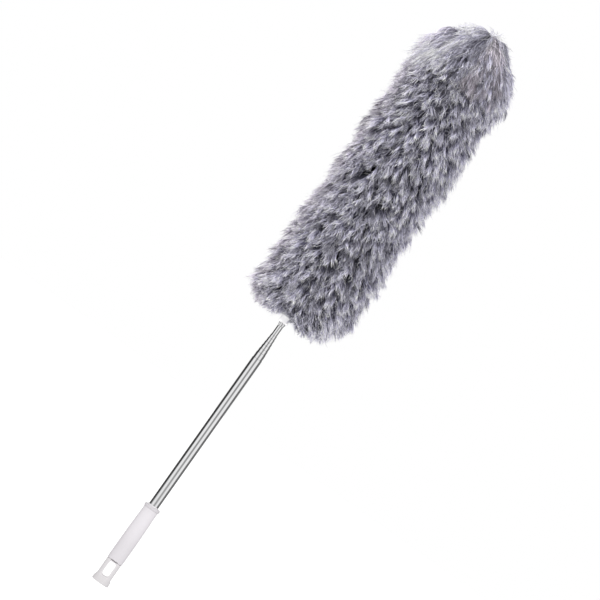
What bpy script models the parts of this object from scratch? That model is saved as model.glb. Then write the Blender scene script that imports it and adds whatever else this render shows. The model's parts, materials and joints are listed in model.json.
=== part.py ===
"""Extendable dusting brush, collapsed and straight.

A moulded plastic handle with a hang slot, eight nested steel tubes that telescope out of it,
and a long microfibre head on a bendable core. The pole's axis is +Z with the head at the top,
the origin is the middle of the handle's end face, and the hang slot passes through along Y.
"""

import math

import bmesh
import bpy

MM = 0.001

# ---------------------------------------------------------------- driving dimensions, millimetres
GAP = 0.3  # between pieces that rest on each other

# handle
FOOT_R = 10.6
TANG_R = 9.0
FLAT_Y = 7.7  # half thickness of the tang across its flats
SLOT_W = 8.4
SLOT_Z = (9.3, 27.3)
SLOT_CORNER = 2.4
GRIP_Z = (29.0, 103.4)
GRIP_R = 9.65
GRIP_TOP_R = 8.9
FLANGE_R = 9.7
CUP_R = (6.4, 8.0)  # the cup of the hang cap, inside the grip
CUP_TOP = 44.0
CUP_FLOOR = 31.6

# telescoping rod
SECTIONS = 8
ROD_R = 6.0
STEP_R = 0.375  # each section is this much smaller in radius than the one around it
WALL = 0.18
LIP = 0.8  # height of the rolled mouth
LIP_IN = 0.1  # how far the mouth is rolled in
TUBE_1_BOTTOM = 33.3
MOUTHS = [305.0, 312.4, 317.3, 322.3, 327.0, 332.3, 337.0, 349.2]
TAILS = 36.3  # the first sliding tube's tail, and the rest sit one in another
TAIL_PITCH = 0.7
SPRING_LENGTH = 25.0
SPRING_PLAY = 0.04
SPRING_SPLIT = 1.4

# head
SHOULDER_R = 4.3
STUD_R = 3.0
COLLAR_Z = (353.7, 388.0)
CORE_TOP = 733.0
WIRE_R = 1.6
SHEATH_R = (1.95, 7.0)
BACKING_R = (7.6, 8.6)
FLUFF_BORE = 8.9
FLUFF_R = 62.0
BENDS = [460.0, 560.0, 660.0]  # where the bendable core is divided
HALF_BEND = math.radians(15.0)  # each side's share of one bend
HEAD_TIP = 757.3

TURN = 32  # sides of a large turned piece
TUBE_TURN = 24  # sides of the rod's tubes

# ---------------------------------------------------------------- scene
for old in list(bpy.data.objects):
    bpy.data.objects.remove(old, do_unlink=True)

part = bpy.data.collections.new("extendable_dusting_brush")
cutters = bpy.data.collections.new("cutters")
for group in (part, cutters):
    bpy.context.scene.collection.children.link(group)


def material(name, colour, roughness, metallic=0.0):
    mat = bpy.data.materials.new(name)
    mat.use_nodes = True
    shader = mat.node_tree.nodes["Principled BSDF"]
    shader.inputs["Base Color"].default_value = (*colour, 1.0)
    shader.inputs["Roughness"].default_value = roughness
    shader.inputs["Metallic"].default_value = metallic
    mat.diffuse_color = (*colour, 1.0)
    return mat


WHITE = material("pale_plastic", (0.78, 0.75, 0.79), 0.42)
COLLAR = material("white_plastic", (0.86, 0.86, 0.86), 0.35)
STEEL = material("polished_steel", (0.78, 0.78, 0.79), 0.08, 1.0)
BRASS = material("spring_brass", (0.72, 0.55, 0.25), 0.3, 1.0)
GREY_PLASTIC = material("grey_plastic", (0.32, 0.32, 0.34), 0.5)
WIRE = material("core_wire_steel", (0.5, 0.5, 0.52), 0.35, 1.0)
KNIT = material("knitted_backing", (0.16, 0.16, 0.19), 0.95)
ELASTIC = material("elastic_band", (0.6, 0.6, 0.62), 0.9)
FLUFF = material("microfibre", (0.36, 0.35, 0.4), 0.95)


def pivot(name, z, parent=None):
    """An empty on the pole's axis at height z: the frame of one moving body."""
    obj = bpy.data.objects.new(name, None)
    obj.empty_display_size = 0.01
    part.objects.link(obj)
    base = 0.0
    if parent is not None:
        obj.parent = parent
        base = parent["height"]
    obj["height"] = z
    obj.location = (0.0, 0.0, (z - base) * MM)
    return obj


def lathe(name, profile, mat, parent, sides=TURN, ring=True, collection=None):
    """Turns a profile of (radius, height) round the pole's axis.

    The profile runs down the outer side. A ring's profile closes on itself, and any other
    starts and ends on the axis.
    """
    base = parent["height"] if parent is not None else 0.0
    mesh = bpy.data.meshes.new(name)
    bm = bmesh.new()
    points = [bm.verts.new((r * MM, 0.0, (z - base) * MM)) for r, z in profile]
    for a, b in zip(points, points[1:]):
        bm.edges.new((a, b))
    if ring:
        bm.edges.new((points[-1], points[0]))
    bm.to_mesh(mesh)
    bm.free()
    obj = bpy.data.objects.new(name, mesh)
    (collection or part).objects.link(obj)
    obj.data.materials.append(mat)
    if parent is not None:
        obj.parent = parent
    turn = obj.modifiers.new("turn", "SCREW")
    turn.axis = "Z"
    turn.angle = math.tau
    turn.steps = turn.render_steps = sides
    turn.use_merge_vertices = True
    turn.merge_threshold = 0.00001
    turn.use_smooth_shade = True
    return obj


def corner(radius, height, size, start, steps=3):
    """Points of a rounded corner of the given size, a quarter turn that starts at an angle in degrees.

    radius and height are the middle of the round.
    """
    return [
        (
            radius + size * math.cos(math.radians(start - 90.0 * i / steps)),
            height + size * math.sin(math.radians(start - 90.0 * i / steps)),
        )
        for i in range(steps + 1)
    ]


def cutter(name, mesh, parent=None):
    obj = bpy.data.objects.new(name, mesh)
    cutters.objects.link(obj)
    obj.hide_render = True
    obj.display_type = "WIRE"
    if parent is not None:
        obj.parent = parent
    return obj


def box_mesh(name, low, high):
    """A box between two corners, in millimetres."""
    mesh = bpy.data.meshes.new(name)
    bm = bmesh.new()
    bmesh.ops.create_cube(bm, size=1.0)
    for v in bm.verts:
        v.co = [
            ((a + b) / 2 + c * (b - a)) * MM for a, b, c in zip(low, high, v.co)
        ]
    bm.to_mesh(mesh)
    bm.free()
    return mesh


def rounded_slot_mesh(name, width, z0, z1, size, depth):
    """A bar with a rounded rectangle's section in XZ, long in Y."""
    outline = bpy.data.curves.new(name, "CURVE")
    outline.dimensions = "2D"
    outline.fill_mode = "BOTH"
    outline.extrude = depth / 2 * MM
    points = []
    for cx, cz, start in (
        (width / 2 - size, z1 - size, 90.0),
        (width / 2 - size, z0 + size, 0.0),
        (-width / 2 + size, z0 + size, -90.0),
        (-width / 2 + size, z1 - size, -180.0),
    ):
        points += corner(cx, cz, size, start, 4)
    line = outline.splines.new("POLY")
    line.points.add(len(points) - 1)
    for p, (x, z) in zip(line.points, points):
        p.co = (x * MM, z * MM, 0.0, 1.0)
    line.use_cyclic_u = True
    shape = bpy.data.objects.new(name, outline)
    cutters.objects.link(shape)
    shape.rotation_euler = (math.radians(90.0), 0.0, 0.0)
    bpy.context.view_layer.update()
    evaluated = shape.evaluated_get(bpy.context.evaluated_depsgraph_get())
    mesh = bpy.data.meshes.new_from_object(evaluated)
    mesh.transform(shape.matrix_world)
    bm = bmesh.new()
    bm.from_mesh(mesh)
    bmesh.ops.remove_doubles(bm, verts=bm.verts, dist=0.000001)
    bmesh.ops.recalc_face_normals(bm, faces=bm.faces)
    bm.to_mesh(mesh)
    bm.free()
    bpy.data.objects.remove(shape, do_unlink=True)
    bpy.data.curves.remove(outline)
    return mesh


def cut(obj, tool):
    mod = obj.modifiers.new("cut_" + tool.name, "BOOLEAN")
    mod.operation = "DIFFERENCE"
    mod.solver = "EXACT"
    mod.object = tool


# ---------------------------------------------------------------- handle
handle = pivot("handle_axis", 0.0)

# Foot flange, tang and the cup that plugs into the grip, one moulding.
hang_cap = lathe(
    "hang_cap",
    [(0.0, CUP_FLOOR), (CUP_R[0], CUP_FLOOR)]
    + [(CUP_R[0], CUP_TOP - 0.6), (CUP_R[0] + 0.5, CUP_TOP)]
    + [(CUP_R[1] - 0.4, CUP_TOP), (CUP_R[1], CUP_TOP - 0.8)]
    + [(CUP_R[1], GRIP_Z[0] - GAP), (TANG_R - 0.3, GRIP_Z[0] - GAP)]
    + [(TANG_R, GRIP_Z[0] - 0.7), (TANG_R, 9.0)]
    + [(TANG_R + 0.25, 7.6), (FOOT_R - 0.3, 5.4)]
    + [(FOOT_R, 4.6)]
    + corner(FOOT_R - 1.2, 1.2, 1.2, 0.0, 3)
    + [(0.0, 0.0)],
    WHITE,
    handle,
    ring=False,
    sides=36,
)
slot_tool = cutter(
    "hang_slot_cutter",
    rounded_slot_mesh("hang_slot_cutter", SLOT_W, *SLOT_Z, SLOT_CORNER, 40.0),
)
cut(hang_cap, slot_tool)
for side in (-1, 1):
    near, far = sorted((side * FLAT_Y, side * 14.0))
    flat = cutter(
        "tang_flat_cutter_" + ("front" if side < 0 else "back"),
        box_mesh("flat", (-14.0, near, 8.2), (14.0, far, GRIP_Z[0] - GAP + 0.02)),
    )
    cut(hang_cap, flat)

# The barrel that the hand holds: slightly barrelled, narrowing upwards to a flanged ring.
grip_bore = CUP_R[1] + GAP
grip_sleeve = lathe(
    "grip_sleeve",
    [(7.35, GRIP_Z[1]), (FLANGE_R - 1.0, GRIP_Z[1])]
    + corner(FLANGE_R - 0.9, GRIP_Z[1] - 0.9, 0.9, 90.0, 3)[1:]
    + [(FLANGE_R, 100.6), (FLANGE_R - 0.35, 100.0)]
    + [(GRIP_TOP_R + 0.1, 99.5), (GRIP_TOP_R, 98.6), (GRIP_TOP_R, 94.0)]
    + [(9.1, 86.0), (9.35, 78.0), (9.55, 68.0), (GRIP_R, 55.0), (GRIP_R, 32.0)]
    + [(GRIP_R - 0.15, 30.0), (GRIP_R - 0.6, GRIP_Z[0])]
    + [(grip_bore, GRIP_Z[0]), (grip_bore, CUP_TOP + GAP)]
    + [(6.3, CUP_TOP + GAP + 1.5), (6.3, 93.0), (7.35, 93.0)],
    WHITE,
    handle,
    sides=36,
)

# The small ring where the rod comes out, pressed into the grip's mouth.
tube_ferrule = lathe(
    "tube_ferrule",
    [(6.45, 104.9), (6.75, 104.9), (7.05, 104.5)]
    + [(7.05, 93.3), (6.3, 93.3), (6.3, 104.6)],
    WHITE,
    handle,
    sides=TURN,
)

# ---------------------------------------------------------------- telescoping rod


def tube_radii(k):
    """Outer and inner radius of section k, counted from 1 at the handle."""
    outer = ROD_R - STEP_R * (k - 1)
    return outer, outer - WALL


def tail(k):
    return TUBE_1_BOTTOM if k == 1 else TAILS + TAIL_PITCH * (k - 2)


def tube(k, parent):
    """A drawn tube with its mouth rolled in, and on a sliding section a rolled tail too."""
    outer, inner = tube_radii(k)
    top, bottom = MOUTHS[k - 1], tail(k)
    profile = [
        (outer - LIP_IN - 0.02, top),
        (outer - 0.02, top - 0.18),
        (outer, top - LIP),
        (outer, bottom),
    ]
    if k == 1:
        profile += [(inner, bottom)]
    else:
        profile += [(inner - 0.55, bottom), (inner - 0.55, bottom + 0.4), (inner, bottom + 0.4)]
    if k < SECTIONS:
        profile += [(inner, top - LIP), (inner - LIP_IN, top - LIP + 0.1), (inner - LIP_IN, top)]
    else:
        profile += [(inner, top)]
        profile[0] = (outer - 0.05, top)
    return lathe("tube_%d" % k, profile, STEEL, parent, sides=TUBE_TURN)


def slide_spring(k, parent, axis):
    """The split sleeve round the tail of section k, a running fit in the section around it."""
    outer = tube_radii(k)[0] + SPRING_PLAY
    wide = tube_radii(k - 1)[1] - SPRING_PLAY
    low = tail(k) + 1.0
    high = low + SPRING_LENGTH
    obj = lathe(
        "slide_spring_%d" % k,
        [(wide, high), (wide, low), (outer, low), (outer, high)],
        BRASS,
        parent,
        sides=TUBE_TURN,
    )
    base = parent["height"]
    split = cutter(
        "spring_split_cutter_%d" % k,
        box_mesh(
            "split",
            (2.0, -SPRING_SPLIT / 2, low - 1.0 - base),
            (9.0, SPRING_SPLIT / 2, high + 1.0 - base),
        ),
        parent,
    )
    split.rotation_euler = (0.0, 0.0, math.radians(90.0 + 51.43 * k))
    cut(obj, split)
    return obj


tube(1, handle)

# Mushroom stopper in the outer tube's lower end.
stop_r = tube_radii(1)[1] - GAP
lathe(
    "tube_stopper",
    [(0.0, TAILS - GAP), (stop_r - 0.3, TAILS - GAP), (stop_r, TAILS - GAP - 0.3)]
    + [(stop_r, TUBE_1_BOTTOM - GAP), (ROD_R, TUBE_1_BOTTOM - GAP)]
    + [(ROD_R, CUP_FLOOR + GAP), (0.0, CUP_FLOOR + GAP)],
    GREY_PLASTIC,
    handle,
    ring=False,
    sides=TUBE_TURN,
)

sections = [handle]
for k in range(2, SECTIONS + 1):
    axis = pivot("section_%d_axis" % k, tail(k), sections[-1])
    tube(k, axis)
    slide_spring(k, axis, sections[-1])
    sections.append(axis)

# Metal plug pressed into the last tube: a shoulder below the head, and the stud the head goes on.
last = sections[-1]
plug_in = tube_radii(SECTIONS)[1] - GAP
lathe(
    "tip_plug",
    [(0.0, 371.0), (STUD_R - 0.7, 371.0), (STUD_R, 370.2)]
    + [(STUD_R, 366.6), (STUD_R - 0.4, 366.2), (STUD_R - 0.4, 364.8), (STUD_R, 364.4)]
    + [(STUD_R, COLLAR_Z[0] - GAP), (SHOULDER_R - 0.25, COLLAR_Z[0] - GAP)]
    + [(SHOULDER_R, COLLAR_Z[0] - GAP - 0.3), (SHOULDER_R, 351.2)]
    + [(SHOULDER_R - 0.5, 350.0), (3.6, MOUTHS[-1] + GAP), (plug_in, MOUTHS[-1] + GAP)]
    + [(plug_in, 336.5), (plug_in - 0.4, 336.0), (0.0, 336.0)],
    STEEL,
    last,
    ring=False,
    sides=TUBE_TURN,
)

# ---------------------------------------------------------------- head
head = pivot("head_pull_axis", COLLAR_Z[0], last)
bend_axes = [head]
for i, z in enumerate(BENDS):
    bend_axes.append(pivot("bend_%d_axis" % (i + 1), z, bend_axes[-1]))


def clear(radius, side, gap=GAP):
    """How far a piece's end stays from a bend's plane at this radius, so that the bend can close."""
    return side * (radius * math.tan(HALF_BEND) + gap)


# Tapered collar: a socket for the stud below, and for the core's spigot above.
lathe(
    "head_connector",
    [(0.0, 376.0), (4.9, 376.0), (4.9, COLLAR_Z[1] - 0.4), (5.2, COLLAR_Z[1])]
    + [(6.6, COLLAR_Z[1]), (6.9, COLLAR_Z[1] - 0.5), (6.9, 374.0)]
    + [(6.3, 369.0), (5.8, 363.0), (5.6, 356.0)]
    + [(5.55, COLLAR_Z[0] + 0.5), (5.15, COLLAR_Z[0])]
    + [(3.7, COLLAR_Z[0]), (3.3, COLLAR_Z[0] + 0.6), (3.3, 373.6), (0.0, 373.6)],
    COLLAR,
    head,
    ring=False,
    sides=TUBE_TURN,
)

# Elastic hem that holds the sleeve on the collar.
lathe(
    "sleeve_elastic",
    [
        (7.75 + 0.7 * math.cos(math.radians(a)), 364.3 + 2.4 * math.sin(math.radians(a)))
        for a in range(90, -270, -45)
    ],
    ELASTIC,
    head,
    sides=TUBE_TURN,
)

edges = [None] + BENDS + [None]
for i, axis in enumerate(bend_axes):
    below, above = edges[i], edges[i + 1]
    n = i + 1

    # steel wire in the middle of the core
    low = 378.0 if below is None else below + clear(WIRE_R, 1)
    high = CORE_TOP - 1.5 if above is None else above + clear(WIRE_R, -1)
    lathe(
        "core_wire_%d" % n,
        [(0.0, high), (WIRE_R, high), (WIRE_R, low), (0.0, low)],
        WIRE,
        axis,
        ring=False,
        sides=12,
    )

    # its soft plastic sheath, with a spigot at the bottom that sits in the collar
    inner, outer = SHEATH_R
    if above is None:
        top = [(inner, CORE_TOP), (outer - 1.2, CORE_TOP), (outer, CORE_TOP - 1.2)]
    else:
        top = [(inner, above + clear(inner, -1)), (outer, above + clear(outer, -1))]
    if below is None:
        foot = [(outer, 388.6), (outer - 0.3, COLLAR_Z[1] + GAP), (4.5, COLLAR_Z[1] + GAP)]
        foot += [(4.5, 377.0), (4.2, 376.4), (inner, 376.4)]
    else:
        foot = [(outer, below + clear(outer, 1)), (inner, below + clear(inner, 1))]
    lathe("core_sheath_%d" % n, top + foot, GREY_PLASTIC, axis, sides=TUBE_TURN)

    # knitted sleeve that the strands are sewn to
    inner, outer = BACKING_R
    low = 368.4 if below is None else below + clear(outer, 1)
    if above is None:
        profile = [(0.0, 744.9), (3.5, 744.5), (6.6, 742.6), (outer, 739.0)]
        profile += [(outer, low), (inner, low)]
        profile += [(inner, 738.6), (5.9, 741.7), (3.2, 743.4), (0.0, 743.8)]
        lathe("backing_%d" % n, profile, KNIT, axis, ring=False, sides=TUBE_TURN)
    else:
        high = above + clear(outer, -1)
        lathe(
            "backing_%d" % n,
            [(inner, high), (outer, high), (outer, low), (inner, low)],
            KNIT,
            axis,
            sides=TUBE_TURN,
        )

    # the whole space that the strands fill, with its ends sloped to leave room for the bend
    if above is None:
        profile = [(0.0, HEAD_TIP), (8.0, 756.2), (21.0, 750.5), (34.0, 740.0)]
        profile += [(44.0, 728.8), (53.0, 717.5), (59.5, 707.0), (FLUFF_R, 696.0)]
        profile += [(FLUFF_R, below + clear(FLUFF_R, 1)), (FLUFF_BORE, below + clear(FLUFF_BORE, 1))]
        profile += [(FLUFF_BORE, 739.4), (6.8, 743.0), (3.6, 744.9), (0.0, 745.3)]
        lathe("fluff_%d" % n, profile, FLUFF, axis, ring=False)
        continue
    profile = [
        (FLUFF_BORE, above + clear(FLUFF_BORE, -1)),
        (FLUFF_R, above + clear(FLUFF_R, -1)),
    ]
    if below is None:
        profile += [(FLUFF_R, 392.0), (60.5, 381.0), (55.0, 369.5), (44.0, 360.5)]
        profile += [(30.0, 357.0), (17.0, 359.5), (FLUFF_BORE, 365.0)]
    else:
        profile += [
            (FLUFF_R, below + clear(FLUFF_R, 1)),
            (FLUFF_BORE, below + clear(FLUFF_BORE, 1)),
        ]
    lathe("fluff_%d" % n, profile, FLUFF, axis)

# Rounded plastic cap on the core's far end.
lathe(
    "core_tip_cap",
    [(0.0, 740.6), (3.0, 740.1), (5.4, 738.2), (6.8, 735.2), (6.9, CORE_TOP + GAP)]
    + [(0.0, CORE_TOP + GAP)],
    GREY_PLASTIC,
    bend_axes[-1],
    ring=False,
    sides=TUBE_TURN,
)
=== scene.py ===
"""The looks of the extendable dusting brush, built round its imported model.

The pole stands along +Z with the handle at the bottom. Lengths named _MM or given to the shape
helpers are millimetres; everything that reaches Blender is metres.
"""

import json
import math

import bmesh
import bpy
import numpy as np
from mathutils import Matrix, Vector

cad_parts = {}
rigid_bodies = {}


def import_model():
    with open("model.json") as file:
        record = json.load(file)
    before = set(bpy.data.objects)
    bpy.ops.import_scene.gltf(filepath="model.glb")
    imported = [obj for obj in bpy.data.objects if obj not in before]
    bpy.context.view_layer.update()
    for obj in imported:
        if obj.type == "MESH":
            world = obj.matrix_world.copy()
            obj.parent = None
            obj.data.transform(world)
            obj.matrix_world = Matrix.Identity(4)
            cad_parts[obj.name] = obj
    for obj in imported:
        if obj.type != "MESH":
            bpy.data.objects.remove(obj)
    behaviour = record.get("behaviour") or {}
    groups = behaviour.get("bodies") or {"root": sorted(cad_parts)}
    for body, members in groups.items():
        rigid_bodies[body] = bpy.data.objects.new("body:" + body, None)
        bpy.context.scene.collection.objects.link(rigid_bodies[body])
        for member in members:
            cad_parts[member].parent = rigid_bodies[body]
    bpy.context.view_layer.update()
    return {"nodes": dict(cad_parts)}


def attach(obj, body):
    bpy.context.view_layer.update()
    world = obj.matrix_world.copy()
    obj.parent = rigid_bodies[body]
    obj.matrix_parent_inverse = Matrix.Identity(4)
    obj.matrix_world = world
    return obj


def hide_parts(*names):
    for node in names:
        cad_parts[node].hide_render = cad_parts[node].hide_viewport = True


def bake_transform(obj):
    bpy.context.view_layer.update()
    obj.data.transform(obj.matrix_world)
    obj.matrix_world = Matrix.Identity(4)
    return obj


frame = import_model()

scene = bpy.context.scene
nodes_of = frame["nodes"]

MM = 0.001

# ---------------------------------------------------------------- camera
LEAN = math.radians(35.23)  # how far the pole leans to the right in the picture
AIM = Vector((0.00095, 0.0, 0.3858))
FAR = 6.0
FRAME_WIDTH = 0.6684  # what the picture spans at the object

lens = bpy.data.cameras.new("camera")
lens.sensor_width = 36.0
lens.lens = 36.0 * FAR / FRAME_WIDTH
lens.clip_start, lens.clip_end = 0.1, 60.0
camera = bpy.data.objects.new("camera", lens)
scene.collection.objects.link(camera)
c, s = math.cos(LEAN), math.sin(LEAN)
camera.matrix_world = Matrix(
    (
        (c, -s, 0.0, AIM.x),
        (0.0, 0.0, -1.0, AIM.y - FAR),
        (s, c, 0.0, AIM.z),
        (0.0, 0.0, 0.0, 1.0),
    )
)
scene.camera = camera

scene.view_settings.view_transform = "Standard"
scene.view_settings.look = "None"
scene.view_settings.exposure = 0.0
scene.view_settings.gamma = 1.0


# ---------------------------------------------------------------- node helpers
def add(tree, kind, inputs=None, **settings):
    """A node with its settings; an input is a value, or a socket to link from."""
    node = tree.nodes.new(kind)
    for key, value in settings.items():
        setattr(node, key, value)
    for key, value in (inputs or {}).items():
        if isinstance(value, bpy.types.NodeSocket):
            tree.links.new(value, node.inputs[key])
        else:
            node.inputs[key].default_value = value
    return node


def ramp(tree, factor, stops, interpolation="LINEAR"):
    """A colour ramp; each stop is a place and a colour or a grey."""
    node = tree.nodes.new("ShaderNodeValToRGB")
    node.color_ramp.interpolation = interpolation
    elements = node.color_ramp.elements
    while len(elements) < len(stops):
        elements.new(0.5)
    for element, (place, colour) in zip(elements, stops):
        element.position = place
        if isinstance(colour, (int, float)):
            colour = (colour, colour, colour)
        element.color = (*colour, 1.0)
    tree.links.new(factor, node.inputs[0])
    return node.outputs["Color"]


def maths(tree, operation, a, b=None, third=None):
    inputs = {0: a}
    if b is not None:
        inputs[1] = b
    if third is not None:
        inputs[2] = third
    return add(tree, "ShaderNodeMath", inputs, operation=operation).outputs[0]


def mixed(tree, factor, a, b, blend="MIX", clamp=False):
    node = add(tree, "ShaderNodeMix", data_type="RGBA", blend_type=blend, clamp_result=clamp)
    for key, value in ((0, factor), (6, a), (7, b)):
        if isinstance(value, bpy.types.NodeSocket):
            tree.links.new(value, node.inputs[key])
        elif key == 0:
            node.inputs[key].default_value = value
        else:
            node.inputs[key].default_value = (*value, 1.0)
    return node.outputs[2]


def noise(tree, vector, scale, detail=2.0, roughness=0.5):
    return add(
        tree,
        "ShaderNodeTexNoise",
        {"Vector": vector, "Scale": scale, "Detail": detail, "Roughness": roughness},
    ).outputs[0]


def stretched(tree, vector, scale):
    return add(tree, "ShaderNodeMapping", {"Vector": vector, "Scale": scale}).outputs[0]


def bumped(tree, height, strength, distance, under=None):
    inputs = {"Height": height, "Strength": strength, "Distance": distance}
    if under is not None:
        inputs["Normal"] = under
    return add(tree, "ShaderNodeBump", inputs).outputs[0]


def start(name):
    """A new material: its tree, its shader and the object coordinates, which are metres."""
    mat = bpy.data.materials.new(name)
    mat.use_nodes = True
    tree = mat.node_tree
    tree.nodes.clear()
    out = tree.nodes.new("ShaderNodeOutputMaterial")
    shader = tree.nodes.new("ShaderNodeBsdfPrincipled")
    tree.links.new(shader.outputs[0], out.inputs["Surface"])
    where = tree.nodes.new("ShaderNodeTexCoord").outputs["Object"]
    return mat, tree, shader, where


def around(tree, where):
    """The angle round the pole's axis, in radians, and the height in metres."""
    xyz = add(tree, "ShaderNodeSeparateXYZ", {0: where})
    return maths(tree, "ARCTAN2", xyz.outputs[1], xyz.outputs[0]), xyz.outputs[2]


# ---------------------------------------------------------------- materials
def moulded(name, low, high, roughness, grain=1.0, specular=0.2, zones=()):
    """Injection-moulded plastic: faint cloudiness, spark-eroded grain, flow lines and rubbed edges.

    zones gives heights in millimetres and how light the plastic is there.
    """
    mat, tree, shader, where = start(name)
    cloud = noise(tree, where, 28.0, 3.0)
    flow = noise(tree, stretched(tree, where, (260.0, 260.0, 22.0)), 1.0, 3.0)
    blend = maths(tree, "MULTIPLY_ADD", flow, 0.35, maths(tree, "MULTIPLY", cloud, 0.65))
    body = ramp(tree, blend, [(0.3, low), (0.7, high)])
    specks = noise(tree, where, 1900.0, 2.0)
    body = mixed(
        tree, ramp(tree, specks, [(0.62, 0.0), (0.72, 0.10)]), body, tuple(x * 0.86 for x in low)
    )
    point = add(tree, "ShaderNodeNewGeometry").outputs["Pointiness"]
    rubbed = ramp(tree, point, [(0.53, 0.0), (0.6, 0.35)])
    body = mixed(tree, rubbed, body, tuple(min(1.0, x * 1.05) for x in high))
    if zones:
        height = add(tree, "ShaderNodeSeparateXYZ", {0: where}).outputs[2]
        first, last = zones[0][0], zones[-1][0]
        span = maths(tree, "MULTIPLY_ADD", height, 1000.0 / (last - first), -first / (last - first))
        level = ramp(tree, span, [((z - first) / (last - first), x) for z, x in zones])
        body = mixed(tree, 1.0, body, level, "MULTIPLY")
    tree.links.new(body, shader.inputs["Base Color"])
    shine = ramp(
        tree, noise(tree, where, 90.0, 4.0), [(0.3, roughness - 0.05), (0.7, roughness + 0.07)]
    )
    tree.links.new(shine, shader.inputs["Roughness"])
    height = bumped(tree, noise(tree, where, 2600.0, 2.0), 0.12 * grain, 0.00004)
    height = bumped(tree, noise(tree, where, 420.0, 2.0), 0.10 * grain, 0.00012, height)
    tree.links.new(height, shader.inputs["Normal"])
    shader.inputs["Specular IOR Level"].default_value = specular
    return mat


def drawn_metal(name, low, high, rough, scale=1.0, smudge=0.5):
    """Drawn and polished metal: hairlines along the axis, and faint handling marks."""
    mat, tree, shader, where = start(name)
    hair = noise(
        tree, stretched(tree, where, (5200.0 * scale, 5200.0 * scale, 38.0 * scale)), 1.0, 3.0, 0.6
    )
    marks = noise(tree, where, 75.0 * scale, 5.0, 0.62)
    tone = maths(tree, "MULTIPLY_ADD", marks, smudge, maths(tree, "MULTIPLY", hair, 1.0 - smudge))
    tree.links.new(ramp(tree, tone, [(0.3, low), (0.65, high)]), shader.inputs["Base Color"])
    gloss = maths(tree, "MULTIPLY_ADD", marks, 0.5, maths(tree, "MULTIPLY", hair, 0.5))
    tree.links.new(ramp(tree, gloss, [(0.3, rough[0]), (0.7, rough[1])]), shader.inputs["Roughness"])
    tree.links.new(bumped(tree, hair, 0.05, 0.00002), shader.inputs["Normal"])
    shader.inputs["Metallic"].default_value = 1.0
    return mat


def knitted(name, dark, light, wale, course, rough=0.92):
    """A plain knit on a sleeve: columns of V-shaped loops. wale and course are metres."""
    mat, tree, shader, where = start(name)
    angle, height = around(tree, where)
    column = maths(tree, "MULTIPLY", angle, 0.0081 / wale)
    row = maths(tree, "DIVIDE", height, course)
    arm = maths(tree, "PINGPONG", column, 0.5)
    lean = maths(tree, "MULTIPLY_ADD", arm, 1.3, row)
    loop = maths(tree, "SINE", maths(tree, "MULTIPLY", lean, math.tau))
    rib = maths(tree, "SINE", maths(tree, "MULTIPLY", arm, math.tau))
    relief = maths(tree, "MULTIPLY_ADD", loop, 0.5, maths(tree, "MULTIPLY", rib, 0.7))
    fuzz = noise(tree, where, 2400.0, 3.0, 0.65)
    relief = maths(tree, "MULTIPLY_ADD", fuzz, 0.8, relief)
    # painted shade: the knit is darker where its relief is low, in the hollows between the loops
    shade = maths(tree, "MULTIPLY_ADD", relief, 0.35, 0.4)
    tree.links.new(ramp(tree, shade, [(0.0, dark), (0.9, light)]), shader.inputs["Base Color"])
    tree.links.new(ramp(tree, fuzz, [(0.3, rough - 0.08), (0.7, rough)]), shader.inputs["Roughness"])
    tree.links.new(bumped(tree, relief, 0.9, 0.0004), shader.inputs["Normal"])
    shader.inputs["Sheen Weight"].default_value = 0.4
    return mat


def fibre(name):
    """Microfibre strands: pale and violet-grey at the free ends, and darkened towards the roots with
    painted shade for the packed depths of the fluff.

    The mesh carries, for each point, how far along its strand it is, the strand's tone and its lock's
    tone, which holds painted light and shade as well, and how warm the lock is.
    """
    mat, tree, shader, where = start(name)
    carried = add(tree, "ShaderNodeAttribute", attribute_name="fibre", attribute_type="GEOMETRY")
    xyz = add(tree, "ShaderNodeSeparateXYZ", {0: carried.outputs["Vector"]})
    along, tone, lock = xyz.outputs
    warmth = add(
        tree, "ShaderNodeAttribute", attribute_name="warmth", attribute_type="GEOMETRY"
    ).outputs["Fac"]
    laid = add(tree, "ShaderNodeUVMap", uv_map="OFBake").outputs[0]
    filament = noise(tree, stretched(tree, laid, (2050.0, 380.0, 1.0)), 1.0, 3.0, 0.6)
    base = ramp(
        tree,
        along,
        [
            (0.0, FIBRE_DEEP_SHADE),
            (0.58, FIBRE_DEEP_SHADE),
            (0.79, FIBRE_MID),
            (0.92, FIBRE_PALE),
            (1.0, FIBRE_TIP),
        ],
    )
    warm = mixed(tree, 1.0, base, (0.93, 0.885, 0.835), "MULTIPLY")
    base = mixed(tree, warmth, base, warm)
    level = maths(tree, "MULTIPLY_ADD", lock, LOCK_SPREAD, 1.0 - LOCK_SPREAD / 2)
    level = maths(
        tree,
        "MULTIPLY",
        level,
        maths(tree, "MULTIPLY_ADD", tone, STRAND_SPREAD, 1.0 - STRAND_SPREAD / 2),
    )
    level = maths(tree, "MULTIPLY", level, maths(tree, "MULTIPLY_ADD", filament, 0.5, 0.75))
    level = maths(tree, "SMOOTH_MIN", level, 1.5, 0.4)
    grey = add(tree, "ShaderNodeCombineXYZ", {0: level, 1: level, 2: level}).outputs[0]
    base = mixed(tree, 1.0, base, grey, "MULTIPLY", clamp=True)
    tree.links.new(base, shader.inputs["Base Color"])
    tree.links.new(
        ramp(tree, filament, [(0.3, 0.52), (0.7, 0.7)]), shader.inputs["Roughness"]
    )
    tree.links.new(bumped(tree, filament, 0.35, 0.00012), shader.inputs["Normal"])
    shader.inputs["Specular IOR Level"].default_value = 0.35
    shader.inputs["Sheen Weight"].default_value = 0.25
    shader.inputs["Sheen Roughness"].default_value = 0.4
    return mat


# painted shade: the two darkest colours darken each strand towards its root, for the shade deep in the
# fluff
FIBRE_DEEP_SHADE = (0.036, 0.035, 0.0535)
FIBRE_MID = (0.192, 0.187, 0.263)
FIBRE_PALE = (0.70, 0.684, 0.815)
FIBRE_TIP = (0.89, 0.872, 0.985)
LOCK_SPREAD = 1.22
STRAND_SPREAD = 0.98

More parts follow.
